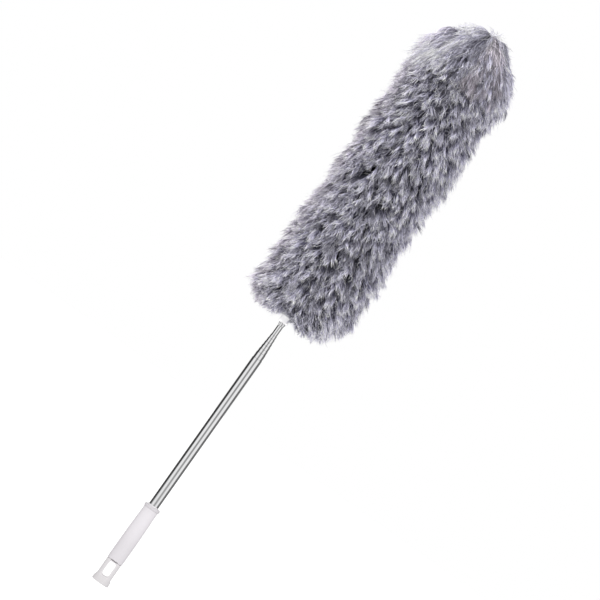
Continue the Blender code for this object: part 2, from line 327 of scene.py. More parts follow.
PALE = moulded("pale_plastic", (0.80, 0.77, 0.80), (0.84, 0.81, 0.845), 0.42)
CAP = moulded(
    "cap_plastic",
    (0.80, 0.775, 0.79),
    (0.84, 0.815, 0.83),
    0.44,
    zones=[(0.0, 0.93), (6.5, 0.94), (9.0, 1.0), (45.0, 1.0)],
)
# the barrel lightens towards its top; painted shade darkens it a little just under the flange and more
# on the flange ring
GRIP = moulded(
    "grip_plastic",
    (0.84, 0.81, 0.84),
    (0.885, 0.85, 0.89),
    0.42,
    zones=[
        (29.0, 0.93),
        (50.0, 0.945),
        (72.0, 0.99),
        (92.0, 1.0),
        (98.6, 0.975),
        (99.8, 0.86),
        (102.8, 0.86),
        (103.4, 0.9),
    ],
)
# painted light: the ferrule is the pale plastic made lighter, to look brightly lit
RING_PAINTED_LIGHT = moulded("ring_plastic", (0.91, 0.89, 0.91), (0.94, 0.925, 0.94), 0.4)
WHITE = moulded("white_plastic", (0.90, 0.89, 0.90), (0.93, 0.92, 0.93), 0.36, 0.6)
GREY = moulded("grey_plastic", (0.26, 0.26, 0.28), (0.34, 0.34, 0.36), 0.5)
STEEL = drawn_metal("polished_steel", (0.80, 0.80, 0.81), (0.87, 0.87, 0.875), (0.055, 0.12))
BRASS = drawn_metal("spring_brass", (0.62, 0.45, 0.20), (0.76, 0.58, 0.28), (0.22, 0.36), 0.8)
WIRE = drawn_metal("core_wire_steel", (0.42, 0.42, 0.44), (0.56, 0.56, 0.58), (0.3, 0.45), 0.8)
KNIT = knitted("knitted_backing", (0.05, 0.05, 0.06), (0.24, 0.235, 0.27), 0.0011, 0.0009)
ELASTIC = knitted("elastic_band", (0.46, 0.46, 0.48), (0.78, 0.78, 0.80), 0.0008, 0.0012)
FIBRE = fibre("microfibre")


def dress(node, mat):
    """A CAD node keeps its shape and takes a material."""
    obj = nodes_of[node]
    obj.data.materials.clear()
    obj.data.materials.append(mat)


for node in nodes_of:
    if node.startswith(("tube_stopper", "core_sheath", "core_tip")):
        dress(node, GREY)
    elif node.startswith("slide_spring"):
        dress(node, BRASS)
    elif node.startswith("core_wire"):
        dress(node, WIRE)
    elif node.startswith("backing"):
        dress(node, KNIT)
    elif node.startswith(("tube_", "tip_plug")) and node != "tube_ferrule":
        dress(node, STEEL)
    elif node == "sleeve_elastic":
        dress(node, ELASTIC)
    elif node.startswith("fluff"):
        dress(node, FIBRE)
    elif node == "head_connector":
        dress(node, WHITE)
    else:
        dress(node, PALE)


# ---------------------------------------------------------------- shape helpers
def piece(name, verts, faces, mat, smooth=35.0):
    """A mesh object from points in millimetres, smooth but for its sharp edges."""
    mesh = bpy.data.meshes.new(name)
    mesh.from_pydata([tuple(x * MM for x in v) for v in verts], [], faces)
    mesh.update()
    mesh.shade_smooth()
    if smooth is not None:
        mesh.set_sharp_from_angle(angle=math.radians(smooth))
    obj = bpy.data.objects.new(name, mesh)
    scene.collection.objects.link(obj)
    obj.data.materials.append(mat)
    return obj


def filleted(points, steps=5, closed=True):
    """A profile of (radius, height, fillet) with each corner rounded by its fillet."""
    out, count = [], len(points)
    for i, point in enumerate(points):
        here, size = Vector(point[:2]), (point[2] if len(point) > 2 else 0.0)
        if size <= 0 or (not closed and i in (0, count - 1)):
            out.append(tuple(here))
            continue
        before, after = Vector(points[i - 1][:2]), Vector(points[(i + 1) % count][:2])
        a, b = (before - here).normalized(), (after - here).normalized()
        half = a.angle(b) / 2
        reach = min(
            size / math.tan(half), 0.49 * (before - here).length, 0.49 * (after - here).length
        )
        radius = reach * math.tan(half)
        centre = here + (a + b).normalized() * (radius / math.sin(half))
        first, last = here + a * reach - centre, here + b * reach - centre
        turn = math.atan2(first.x * last.y - first.y * last.x, first.dot(last))
        for k in range(steps + 1):
            angle = turn * k / steps
            out.append(
                (
                    centre.x + first.x * math.cos(angle) - first.y * math.sin(angle),
                    centre.y + first.x * math.sin(angle) + first.y * math.cos(angle),
                )
            )
    return out


def turned(name, profile, mat, sides=96, ring=True, smooth=35.0, wave=None):
    """A profile of (radius, height) turned round the pole's axis, running down its outer side.

    A ring's profile closes on itself; any other starts and ends on the axis. wave(angle, radius,
    height) gives a change of radius.
    """
    verts, rows = [], []
    for r, z in profile:
        if r < 1e-6:
            rows.append([len(verts)] * sides)
            verts.append((0.0, 0.0, z))
            continue
        rows.append(list(range(len(verts), len(verts) + sides)))
        for i in range(sides):
            a = math.tau * i / sides
            q = r + (wave(a, r, z) if wave else 0.0)
            verts.append((q * math.cos(a), q * math.sin(a), z))
    faces = []
    count = len(rows)
    for k in range(count if ring else count - 1):
        upper, lower = rows[k], rows[(k + 1) % count]
        for i in range(sides):
            j = (i + 1) % sides
            loop = [upper[i], lower[i], lower[j], upper[j]]
            loop = [v for n, v in enumerate(loop) if v not in loop[:n]]
            if len(loop) > 2:
                faces.append(tuple(loop))
    return piece(name, verts, faces, mat, smooth)


def applied(obj):
    """Bakes the object's modifiers into its mesh."""
    bpy.context.view_layer.update()
    mesh = bpy.data.meshes.new_from_object(
        obj.evaluated_get(bpy.context.evaluated_depsgraph_get())
    )
    obj.modifiers.clear()
    obj.data = mesh
    return obj


def cut_away(obj, *tools):
    for tool in tools:
        mod = obj.modifiers.new("cut", "BOOLEAN")
        mod.operation, mod.solver, mod.object = "DIFFERENCE", "EXACT", tool
    applied(obj)
    for tool in tools:
        bpy.data.objects.remove(tool, do_unlink=True)
    obj.data.shade_smooth()
    obj.data.set_sharp_from_angle(angle=math.radians(35.0))
    return obj


def lofted(name, sections, mat):
    """A closed solid through sections, each a closed list of points in millimetres."""
    n = len(sections[0])
    verts = [p for section in sections for p in section]
    faces = []
    for k in range(len(sections) - 1):
        for i in range(n):
            j = (i + 1) % n
            faces.append((k * n + i, k * n + j, (k + 1) * n + j, (k + 1) * n + i))
    faces.append(tuple(reversed(range(n))))
    faces.append(tuple(range((len(sections) - 1) * n, len(sections) * n)))
    obj = piece(name, verts, faces, mat)
    bm = bmesh.new()
    bm.from_mesh(obj.data)
    bmesh.ops.recalc_face_normals(bm, faces=bm.faces)
    bm.to_mesh(obj.data)
    bm.free()
    return obj


def fit(obj, body, slot, *stands_for):
    """The piece rides on a body and stands for CAD nodes; slot is not used."""
    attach(obj, body)
    if stands_for:
        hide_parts(*stands_for)
    return obj


# ---------------------------------------------------------------- handle
FLAT_Y = 7.7
SLOT = (4.2, 9.3, 27.3)  # half width, low and high end


def rounded_rectangle(x, z0, z1, size, y, steps=8):
    points = []
    for cx, cz, first in (
        (x - size, z1 - size, 0),
        (-x + size, z1 - size, 90),
        (-x + size, z0 + size, 180),
        (x - size, z0 + size, 270),
    ):
        for k in range(steps + 1):
            a = math.radians(first + 90.0 * k / steps)
            points.append((cx + size * math.cos(a), y, cz + size * math.sin(a)))
    return points


def snap_windows():
    """The small dark window above the slot, front and back, where the cap snaps into the grip."""
    made = []
    for side in (-1, 1):
        rows = []
        for y in (4.6, 12.0):
            rows.append(rounded_rectangle(4.2, 28.55, 29.75, 0.35, side * y, steps=4))
        made.append(lofted("window_tool", rows, PALE))
    return made


hang_cap = turned(
    "hang_cap_moulding",
    filleted(
        [(0.0, 31.6), (6.4, 31.6, 0.3), (6.4, 43.4), (6.9, 44.0, 0.2), (7.6, 44.0, 0.2)]
        + [(8.0, 43.2, 0.3), (8.0, 28.75, 0.1), (8.95, 28.75, 0.25), (9.2, 28.2, 0.3)]
        + [(9.2, 8.6, 2.0), (10.45, 5.2, 1.6), (10.6, 3.8, 1.0), (10.6, 0.0, 1.15), (0.0, 0.0)],
        closed=False,
    ),
    CAP,
    sides=144,
    ring=False,
)
sections = []
for y, grow in ((-16, 0.4), (-FLAT_Y - 0.2, 0.4), (-FLAT_Y, 0.3), (-FLAT_Y + 0.12, 0.15)) + (
    (-FLAT_Y + 0.27, 0.04),
    (-FLAT_Y + 0.45, 0.0),
    (FLAT_Y - 0.45, 0.0),
    (FLAT_Y - 0.27, 0.04),
    (FLAT_Y - 0.12, 0.15),
    (FLAT_Y, 0.3),
    (FLAT_Y + 0.2, 0.4),
    (16, 0.4),
):
    sections.append(
        rounded_rectangle(SLOT[0] + grow, SLOT[1] - grow, SLOT[2] + grow, 2.9 + grow, y)
    )
slot_tool = lofted("slot_tool", sections, PALE)
tools = [slot_tool]
for side in (-1, 1):
    # the flat on each side of the tang, run out into the foot with a scoop
    rows = []
    for z, y in ((7.2, 9.6), (7.9, 8.5), (8.6, 7.95), (9.4, FLAT_Y), (28.3, FLAT_Y), (29.6, FLAT_Y)):
        rows.append(
            [(-12, side * y, z), (12, side * y, z), (12, side * 15, z), (-12, side * 15, z)]
        )
    tools.append(lofted("flat_tool", rows, PALE))
tools += snap_windows()
cut_away(hang_cap, *tools)
fit(hang_cap, "handle", "pale_plastic", "hang_cap")

grip = turned(
    "grip_barrel",
    filleted(
        [(7.35, 103.4, 0.25), (9.7, 103.4, 0.95), (9.7, 100.2, 0.75), (9.0, 99.75, 0.4)]
        + [(8.9, 98.6, 0.3), (8.9, 94.0, 6.0), (9.1, 86.0, 8.0), (9.35, 78.0, 8.0)]
        + [(9.55, 68.0, 9.0), (9.65, 55.0, 9.0), (9.65, 30.2, 0.9), (9.35, 29.05, 0.45)]
        + [(8.3, 29.05, 0.2), (8.3, 44.3, 0.2), (6.3, 45.8, 0.2), (6.3, 93.0), (7.35, 93.0)],
        steps=6,
    ),
    GRIP,
    sides=144,
    # the two mould halves leave a hair-thin parting line down each side
    wave=lambda a, r, z: (
        0.05 * math.exp(-((((a + math.pi / 2) % math.pi) - math.pi / 2) / 0.03) ** 2)
        if r > 8.6 and z > 31
        else 0.0
    ),
)
cut_away(grip, *snap_windows())
fit(grip, "handle", "pale_plastic", "grip_sleeve")

ferrule = turned(
    "tube_ferrule_ring",
    filleted(
        [(6.3, 104.5, 0.2), (7.05, 104.5, 0.4), (7.05, 93.3, 0.1), (6.3, 93.3, 0.1)], steps=5
    ),
    RING_PAINTED_LIGHT,
)
fit(ferrule, "handle", "pale_plastic", "tube_ferrule")

stopper = turned(
    "tube_stopper_plug",
    filleted(
        [(0.0, 36.0), (5.52, 36.0, 0.35), (5.52, 33.0, 0.05), (6.0, 33.0, 0.15)]
        + [(6.0, 31.9, 0.3), (0.0, 31.9)],
        closed=False,
    ),
    GREY,
    sides=64,
    ring=False,
)
fit(stopper, "handle", "grey_plastic", "tube_stopper")

# ---------------------------------------------------------------- telescoping rod
SECTIONS = 8
MOUTHS = [305.0, 312.4, 317.3, 322.3, 327.0, 332.3, 337.0, 349.2]


def radii(k):
    outer = 6.0 - 0.375 * (k - 1)
    return outer, outer - 0.18


def tail(k):
    return 33.3 if k == 1 else 36.3 + 0.7 * (k - 2)


for k in range(1, SECTIONS + 1):
    outer, inner = radii(k)
    top, low = MOUTHS[k - 1], tail(k)
    if k < SECTIONS:
        # the mouth is rolled in over the next section
        profile = [
            (inner - 0.1, top - 0.12, 0.04),
            (inner - 0.02, top, 0.04),
            (outer - 0.1, top, 0.08),
            (outer - 0.015, top - 0.35, 0.2),
            (outer, top - 1.0, 0.2),
        ]
    else:
        profile = [(inner, top, 0.03), (outer - 0.03, top, 0.05), (outer, top - 0.2, 0.1)]
    profile.append((outer, low, 0.03 if k == 1 else 0.12))
    if k == 1:
        profile.append((inner, low, 0.03))
    else:
        profile += [(inner - 0.55, low, 0.03), (inner - 0.55, low + 0.4, 0.03)]
        profile.append((inner, low + 0.4, 0.05))
    if k < SECTIONS:
        profile += [(inner, top - 0.9, 0.05), (inner - 0.1, top - 0.55, 0.05)]
    tube = turned("pole_section_%d" % k, filleted(profile, steps=4), STEEL, sides=112)
    fit(tube, "handle" if k == 1 else "section_%d" % k, "polished_steel", "tube_%d" % k)


def split_sleeve(name, inner, outer, low, high, gap, angle, mat, sides=72):
    """A rolled sleeve with a lengthwise gap, its ends flared in."""
    half = gap / (inner + outer)
    heights = [0.0, 0.15, 0.6, 1.2]
    heights = [low + h for h in heights] + [
        low + (high - low) * (0.08 + 0.84 * i / 16) for i in range(17)
    ]
    heights += [high - h for h in (1.2, 0.6, 0.15, 0.0)]
    verts, n, m = [], sides + 1, len(heights)
    for shell, base in ((0, outer), (1, inner)):
        for z in heights:
            edge = min(z - low, high - z)
            pinch = 0.05 * max(0.0, 1.0 - edge / 0.6) if shell == 0 else 0.0
            for i in range(n):
                a = half + (math.tau - 2 * half) * i / sides
                r = base - pinch
                verts.append((r * math.cos(a + angle), r * math.sin(a + angle), z))
    faces, inside = [], n * m
    for k in range(m - 1):
        for i in range(sides):
            p = k * n + i
            faces.append((p, p + 1, p + 1 + n, p + n))
            q = inside + p
            faces.append((q, q + n, q + 1 + n, q + 1))
    for k in range(m - 1):
        p, q = k * n, inside + k * n
        faces.append((p, p + n, q + n, q))
        p, q = p + sides, q + sides
        faces.append((p, q, q + n, p + n))
    for i in range(sides):
        p, q = i, inside + i
        faces.append((p, q, q + 1, p + 1))
        p, q = (m - 1) * n + i, inside + (m - 1) * n + i
        faces.append((p, p + 1, q + 1, q))
    return piece(name, verts, faces, mat)


for k in range(2, SECTIONS + 1):
    spring = split_sleeve(
        "friction_spring_%d" % k,
        radii(k)[0] + 0.04,
        radii(k - 1)[1] - 0.04,
        tail(k) + 1.0,
        tail(k) + 26.0,
        1.4,
        math.radians(90.0 + 51.43 * k),
        BRASS,
    )
    fit(spring, "section_%d" % k, "spring_brass", "slide_spring_%d" % k)

plug_in = radii(SECTIONS)[1] - 0.3
tip_plug = turned(
    "tip_plug_turned",
    filleted(
        [(0.0, 371.0), (2.3, 371.0, 0.3), (3.0, 370.2, 0.4), (3.0, 366.6, 0.15)]
        + [(2.6, 366.2, 0.15), (2.6, 364.8, 0.15), (3.0, 364.4, 0.15), (3.0, 353.4, 0.15)]
        + [(4.15, 353.4, 0.2), (4.15, 352.5, 1.0), (3.7, 350.6, 1.0), (3.46, 349.5, 0.1)]
        + [(plug_in, 349.5, 0.05), (plug_in, 336.0, 0.4), (0.0, 336.0)],
        closed=False,
    ),
    STEEL,
    ring=False,
)
fit(tip_plug, "section_8", "polished_steel", "tip_plug")

# ---------------------------------------------------------------- head: collar, core and backing
connector = turned(
    "head_connector_collar",
    filleted(
        [(0.0, 376.0), (4.9, 376.0, 0.2), (4.9, 387.6), (5.2, 388.0, 0.15), (6.6, 388.0, 0.3)]
        + [(6.9, 387.5, 0.3), (6.9, 374.0, 3.0), (6.3, 369.0, 4.0), (5.8, 363.0, 4.0)]
        + [(5.6, 356.0, 2.0), (5.55, 353.7, 0.55), (3.6, 353.7, 0.35), (3.3, 354.3, 0.3)]
        + [(3.3, 373.6, 0.2), (0.0, 373.6)],
        closed=False,
    ),
    WHITE,
    ring=False,
)
fit(connector, "head_base", "white_plastic", "head_connector")

hem = turned(
    "elastic_hem",
    [
        (7.75 + 0.68 * math.cos(math.radians(a)), 364.3 + 2.3 * math.sin(math.radians(a)))
        for a in range(90, -270, -15)
    ],
    ELASTIC,
    sides=144,
    # gathered cloth: the hem puckers round the collar
    wave=lambda a, r, z: 0.09 * (r - 7.0) * math.sin(26 * a) + 0.03 * math.sin(61 * a + z),
    smooth=None,
)
fit(hem, "head_base", "elastic_band", "sleeve_elastic")

BENDS = [("head_base", "head_lower", 460.0), ("head_lower", "head_middle", 560.0)]
BENDS.append(("head_middle", "head_upper", 660.0))


def stacked(low, high, pitch):
    count = max(1, round((high - low) / pitch))
    return [low + (high - low) * i / count for i in range(count + 1)]


def flexible(
    name, inner, outer, low, high, mat, replaced, sides=48, foot=(), head=(), lining=()
):
    """A tube along the core, in three lengths that meet between the core's bends.

    foot and head are the profile's points at the bottom and top, down the outer side, and lining
    those up the inside of a closed head.
    """
    spans = [(low, 510.0), (510.0, 610.0), (610.0, high)]
    for n, ((a, b), (below, above, bend)) in enumerate(zip(spans, BENDS)):
        heights = stacked(a, b, 4.0)
        profile = [(outer, z) for z in reversed(heights)]
        if n == 0 and foot:
            profile = profile[:-1] + list(foot)
        elif inner > 0:
            profile += [(inner, z) for z in heights]
        else:
            profile.append((0.0, a))
        if n == 0 and foot and inner > 0:
            profile += [(inner, z) for z in heights[1:]]
        if n == 2 and head:
            profile = list(head) + profile[1:]
            if inner > 0:
                profile = profile[:-1] + list(lining)
        elif inner <= 0:
            profile = [(0.0, b)] + profile
        ring = inner > 0 and not (n == 2 and head and head[0][0] == 0.0)
        tube = turned("%s_%s" % (name, "abc"[n]), profile, mat, sides=sides, ring=ring)
        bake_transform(tube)
        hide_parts(*replaced[n])


flexible(
    "core_wire",
    0.0,
    1.6,
    378.0,
    731.5,
    WIRE,
    (("core_wire_1",), ("core_wire_2",), ("core_wire_3", "core_wire_4")),
    sides=24,
)
flexible(
    "core_sheath",
    1.95,
    7.0,
    376.4,
    733.0,
    GREY,
    (("core_sheath_1",), ("core_sheath_2",), ("core_sheath_3", "core_sheath_4")),
    foot=[(7.0, 388.7), (6.7, 388.3), (4.5, 388.3), (4.5, 377.0), (4.2, 376.4), (1.95, 376.4)],
    head=[(1.95, 733.0), (6.3, 733.0), (6.8, 732.7), (7.0, 732.0)],
)
flexible(
    "knitted_sleeve",
    7.6,
    8.6,
    368.4,
    739.0,
    KNIT,
    (("backing_1",), ("backing_2",), ("backing_3", "backing_4")),
    sides=64,
    head=[(0.0, 744.9), (2.0, 744.8), (3.9, 744.3), (5.6, 743.4), (7.2, 742.0), (8.3, 740.3)]
    + [(8.6, 739.0)],
    lining=[(7.6, 738.4), (7.3, 739.8), (6.4, 741.2), (5.0, 742.4), (3.5, 743.2), (1.8, 743.7)]
    + [(0.0, 743.8)],
)
tip_cap = turned(
    "core_tip_dome",
    filleted(
        [(0.0, 740.6), (3.0, 740.1, 3.0), (5.4, 738.2, 2.0), (6.8, 735.2, 1.0)]
        + [(6.9, 733.3, 0.2), (0.0, 733.3)],
        closed=False,
    ),
    GREY,
    sides=64,
    ring=False,
)
fit(tip_cap, "head_upper", "grey_plastic", "core_tip_cap")

# ---------------------------------------------------------------- head: the microfibre strands
rng = np.random.default_rng(41)
ALONG = np.array([0.0, 0.36, 0.56, 0.69, 0.79, 0.87, 0.94, 1.0])  # where a strand's rings are
THICK = np.array([0.7, 0.95, 1.0, 1.0, 0.97, 0.9, 0.7, 0.0])
FRIZZ = np.array([0.0, 0.3, 0.5, 0.6, 0.68, 0.75, 0.81, 0.87, 0.92, 0.965, 1.0])  # and a frizzy one's
STRAND_R = 0.44
PER_LOCK = 12
BODY_LOCKS = 4300
CAP_LOCKS = 820
PIECE_STRANDS = 4900

# the outline of the rounded tip, as radius and height
DOME = np.array(
    [(0, 757), (10, 755.6), (18.5, 753), (26, 748.5), (32.5, 741.2), (37.5, 732.5), (42.5, 724)]
    + [(48.5, 716), (56, 707), (61, 697)],
    float,
)


DOME_SHIFT = 4.6  # the whole head of strands lies this far to one side
WHORL = np.array((11.5, -8.0, 751.8))  # where the strands over the tip part


def waves(angle, z, seed, reach):
    """A smooth wandering value round and along the head, about one strong."""
    turn = np.random.default_rng(seed)
    total = np.zeros_like(angle)
    for _ in range(9):
        k = turn.integers(1, max(2, int(62 / reach * 6.3)) + 1)
        m = turn.uniform(0.3, 1.0) * math.tau / (reach * 2.2)
        total += np.cos(k * angle + m * z * turn.choice([-1, 1]) + turn.uniform(0, math.tau))
    return total / 2.1


def fuller(angle, z):
    """The head hangs a little fuller on one side, and wavers along its length."""
    side = np.cos(angle)
    lean = np.interp(z, [374.0, 392.0], [0.035, 0.084])
    return 1.004 + lean * side + 0.014 * np.cos((z - 436.0) * math.tau / 134.0) * (1 + side)


def lock_points(r0, a0, z0, up, r1, a1, z1, down, reach_0, reach_1):
    """Root, two guide points and end of each lock, as x, y and z."""
    up, down = np.radians(up), np.radians(down)
    ra, za = r0 + reach_0 * np.cos(up), z0 + reach_0 * np.sin(up)
    rb, zb = r1 - reach_1 * np.cos(down), z1 - reach_1 * np.sin(down)
    turn = a1 - a0
    made = []
    for r, a, z in (
        (r0, a0, z0),
        (ra, a0 + 0.12 * turn, za),
        (rb, a0 + 0.75 * turn, zb),
        (r1, a1, z1),
    ):
        made.append(np.stack([r * np.cos(a), r * np.sin(a), z], 1))
    return np.stack(made, 1)


def shoulder(angle, z):
    """Longer tufts stick out where the rounded tip begins, on the side away from the whorl."""
    return 5.5 * np.clip(-np.cos(angle), 0, 1) ** 2 * np.exp(-(((z - 700.0) / 5.0) ** 2))


def body_locks(count):
    """Locks on the sleeve's side."""
    i = np.arange(count)
    z0 = 373.0 + (739.5 - 373.0) * (i + rng.random(count)) / count
    angle = (i * 2.399963 + rng.normal(0, 0.16, count)) % math.tau
    low = np.clip((z0 - 373.0) / 44.0, 0, 1)
    stops = [0, 0.12, 0.3, 0.5, 0.7, 0.85, 1]
    r1 = np.interp(low, stops, [30, 42.5, 50.5, 59.5, 64, 65.5, 65])
    z1 = np.interp(low, stops, [356, 355, 360, 368, 376, 381, 386])
    z1 = z1 - 2.5 * np.cos(angle) * np.interp(low, [0, 0.12], [1, 0])
    r1 = np.where(z0 > 417.0, np.interp(z0, [417, 436], [65, 62.5]), r1)
    z1 = np.where(z0 > 417.0, z0 - 31.0, z1)
    top = np.interp(z1, [690, 697, 705, 712], [62.5, 61, 58, 53])
    r1 = np.minimum(r1, top) + shoulder(angle, z1)
    r1 = r1 * fuller(angle, z1)
    r1 = r1 + 4.5 * np.clip(np.cos(angle), 0, 1) * np.exp(-(((z1 - 385.0) / 10.0) ** 2))
    r1 = r1 * (0.985 - 0.15 * rng.random(count) ** 1.5) + 1.7 * waves(angle, z1, 5, 20.0)
    z1 = z1 + np.where(low < 1, 0.6, 1.0) * rng.normal(0, 2.4, count)
    # the skirt parts over the collar
    parting = np.exp(-(((r1 * np.cos(angle) + 3.5) / 9.5) ** 2))
    z1 = z1 + np.interp(z0, [375, 400, 412], [11.0, 8.0, 0.0]) * parting
    # neighbouring locks draw together in clumps
    n = 1900
    centre_z = 362.0 + 352.0 * (np.arange(n) + rng.random(n)) / n
    centre_a = (np.arange(n) * 2.399963 + rng.normal(0, 0.2, n)) % math.tau
    turn = angle[:, None] - centre_a[None]
    turn = (turn + math.pi) % math.tau - math.pi
    rise = z1[:, None] - centre_z[None]
    near = np.argmin((turn * 60.0) ** 2 + rise**2, axis=1)
    pick = (i, near)
    a1 = angle - 0.34 * turn[pick] + rng.normal(0, 0.05, count)
    z1 = z1 - 0.34 * rise[pick] * np.where(low < 1, 0.4, 1.0)
    up = np.interp(z0, [375, 400, 690, 739.5], [-4, 4, 6, 6]) + rng.normal(0, 8, count)
    up = np.where(z0 > 715.0, np.minimum(up, 9.0), up)
    down = np.interp(z0, [375, 390, 420, 739], [-62, -56, -57, -58]) + rng.normal(0, 12, count)
    reach = np.interp(z0, [375, 400], [9, 22])
    return lock_points(
        np.full(count, 8.4), angle, z0, up, r1, a1, z1, down, reach, reach * 1.05
    )


def cap_locks(count):
    """Locks that rise from the sleeve's closed end to a whorl and fall over the rounded tip."""
    i = np.arange(count)
    r0 = 8.2 * np.sqrt((i + rng.random(count)) / count)
    angle = (i * 2.399963 + rng.normal(0, 0.2, count)) % math.tau
    root = np.stack([r0 * np.cos(angle), r0 * np.sin(angle), 744.6 - 5.4 * (r0 / 8.6) ** 3], 1)
    angle = angle + rng.normal(0, 0.1, count)
    r1 = np.interp(r0, [0, 8], [40, 58]) + rng.normal(0, 7.5, count)
    r1 = np.clip(r1, 18, 61.5)
    z1 = np.interp(r1, DOME[:, 0], DOME[:, 1]) - 0.3 - 3.0 * rng.random(count)
    # the outermost hang over the side in broken lengths
    hang = np.where(r1 > 55, 27.0 * rng.random(count) ** 1.4, 0.0)
    z1 = z1 - hang
    slope = np.interp(r1, [20, 34, 44, 53, 60, 64], [-28, -38, -45, -50, -60, -70])
    slope = np.radians(slope - 0.6 * hang + rng.normal(0, 6, count))
    r1 = r1 + 1.2 * waves(angle, z1, 9, 26.0) + shoulder(angle, z1)
    end = np.stack([DOME_SHIFT + r1 * np.cos(angle), r1 * np.sin(angle), z1], 1)
    out = end - WHORL
    out[:, 2] = 0
    out /= np.linalg.norm(out, axis=1, keepdims=True)
    rise = rng.uniform(2.0, 9.0, count)
    first = WHORL + out * rise[:, None]
    first[:, 2] += rng.uniform(0.0, 3.0, count) - 0.12 * rise
    back = 0.40 * r1
    second = end - out * (back * np.cos(slope))[:, None]
    second[:, 2] -= back * np.sin(slope) + 3.0 * np.cos(angle)
    return np.stack([root, first, second, end], 1)


def crown_locks(count):
    """Single strands that stand up at the whorl."""
    angle = math.tau * rng.random(count)
    root = np.stack([3.0 * np.cos(angle) + 3.0, 3.0 * np.sin(angle), np.full(count, 744.4)], 1)
    out = np.stack([np.cos(angle), np.sin(angle), 0 * angle], 1)
    end = WHORL + out * rng.uniform(4.0, 16.0, count)[:, None]
    end[:, 2] += rng.uniform(-1.0, 4.5, count)
    first = 0.5 * (root + WHORL) + (0, 0, 2.0)
    second = 0.5 * (end + WHORL) + (0, 0, 3.0)
    return np.stack([root, first, second, end], 1)


def strands_of(locks, per_lock, tight, unruly, steps=None, curl=1.0, pitch=(13.0, 24.0), proud=0.0):
    """Fans each lock out into strands.

    Returns each strand's points in millimetres, its lock, and whether it strays. unruly is how
    much the free ends hook, curl and pitch how far and how often they wave, and proud how far
    they stand out.
    """
    steps = ALONG if steps is None else steps
    count = len(locks) * per_lock
    lock = np.repeat(np.arange(len(locks)), per_lock)
    guide = locks[lock].copy()
    angle = np.arctan2(guide[:, 3, 1], guide[:, 3, 0])
    side = np.stack([-np.sin(angle), np.cos(angle), np.zeros(count)], -1)
    heading = guide[:, 3] - guide[:, 2]
    heading /= np.linalg.norm(heading, axis=1, keepdims=True)
    lift = np.cross(heading, side)
    lift *= np.sign((lift * guide[:, 3] * (1, 1, 0)).sum(1, keepdims=True))
    stray = rng.random(count) < STRAYS
    fly = np.where(stray, rng.random(count) ** 2, 0.0)
    for k, spread in ((0, 0.8), (1, 1.5), (2, 2.0), (3, TIP_SPREAD)):
        size = spread * tight * np.where(stray & (k > 1), 2.2, 1.0)
        guide[:, k] += side * (rng.normal(0, 1, count) * size)[:, None]
        guide[:, k] += lift * (rng.normal(0, 0.8, count) * size)[:, None]
    short = rng.random(count) ** 1.7 * 8.0 - 1.5
    short = np.where(stray, -5.0 * fly, short)
    rise = 2.2 * fly + proud * rng.random(count) ** 2
    guide[:, 3] += lift * rise[:, None] - heading * short[:, None]
    t = steps[None, :, None]
    p = [guide[:, k, None, :] for k in range(4)]
    points = (1 - t) ** 3 * p[0] + 3 * (1 - t) ** 2 * t * p[1]
    points = points + 3 * (1 - t) * t**2 * p[2] + t**3 * p[3]

    # the free end hooks to one side and curls, each lock in its own way
    def shared(scale, own):
        whole = rng.normal(0, scale, len(locks))[lock]
        return unruly * (whole + rng.normal(0, own, count) * np.where(stray, 1.8, 1.0))

    t = steps[None, :]
    hook = np.clip((t - 0.55) / 0.45, 0, None) ** 2
    length = np.linalg.norm(np.diff(points, axis=1), axis=2).sum(1)
    run = t * length[:, None]
    wave_length = rng.uniform(*pitch, len(locks))[lock] * rng.uniform(0.9, 1.1, count)
    phase = rng.uniform(0, math.tau, len(locks))[lock] + rng.normal(0, 0.7, count)
    swing = math.tau * run / wave_length[:, None] + phase[:, None]
    grown = np.clip((t - 0.2) / 0.5, 0, 1)
    size = unruly * curl * (CURL * np.abs(rng.normal(1, 0.5, len(locks))))[lock][:, None] * grown
    sideways = shared(HOOK, 0.32 * HOOK)[:, None] * hook + size * np.sin(swing)
    outward = shared(0.6 * HOOK, 0.28 * HOOK)[:, None] * hook + 0.7 * size * np.cos(swing)
    points = points + sideways[..., None] * side[:, None] + outward[..., None] * lift[:, None]
    points = points + rng.normal(0, 1, points.shape) * (0.22 * curl * grown)[..., None]
    # points further from the axis than REACH are drawn back to within 1.6 mm beyond it
    reach = np.hypot(points[..., 0], points[..., 1])
    held = np.where(reach > REACH, REACH + 1.6 * np.tanh((reach - REACH) / 6.0), reach)
    points[..., :2] *= (held / reach)[..., None]
    return points, lock, stray


STRAYS = 0.13
REACH = 72.5
TIP_SPREAD = 1.15
HOOK = 3.6
CURL = 0.85


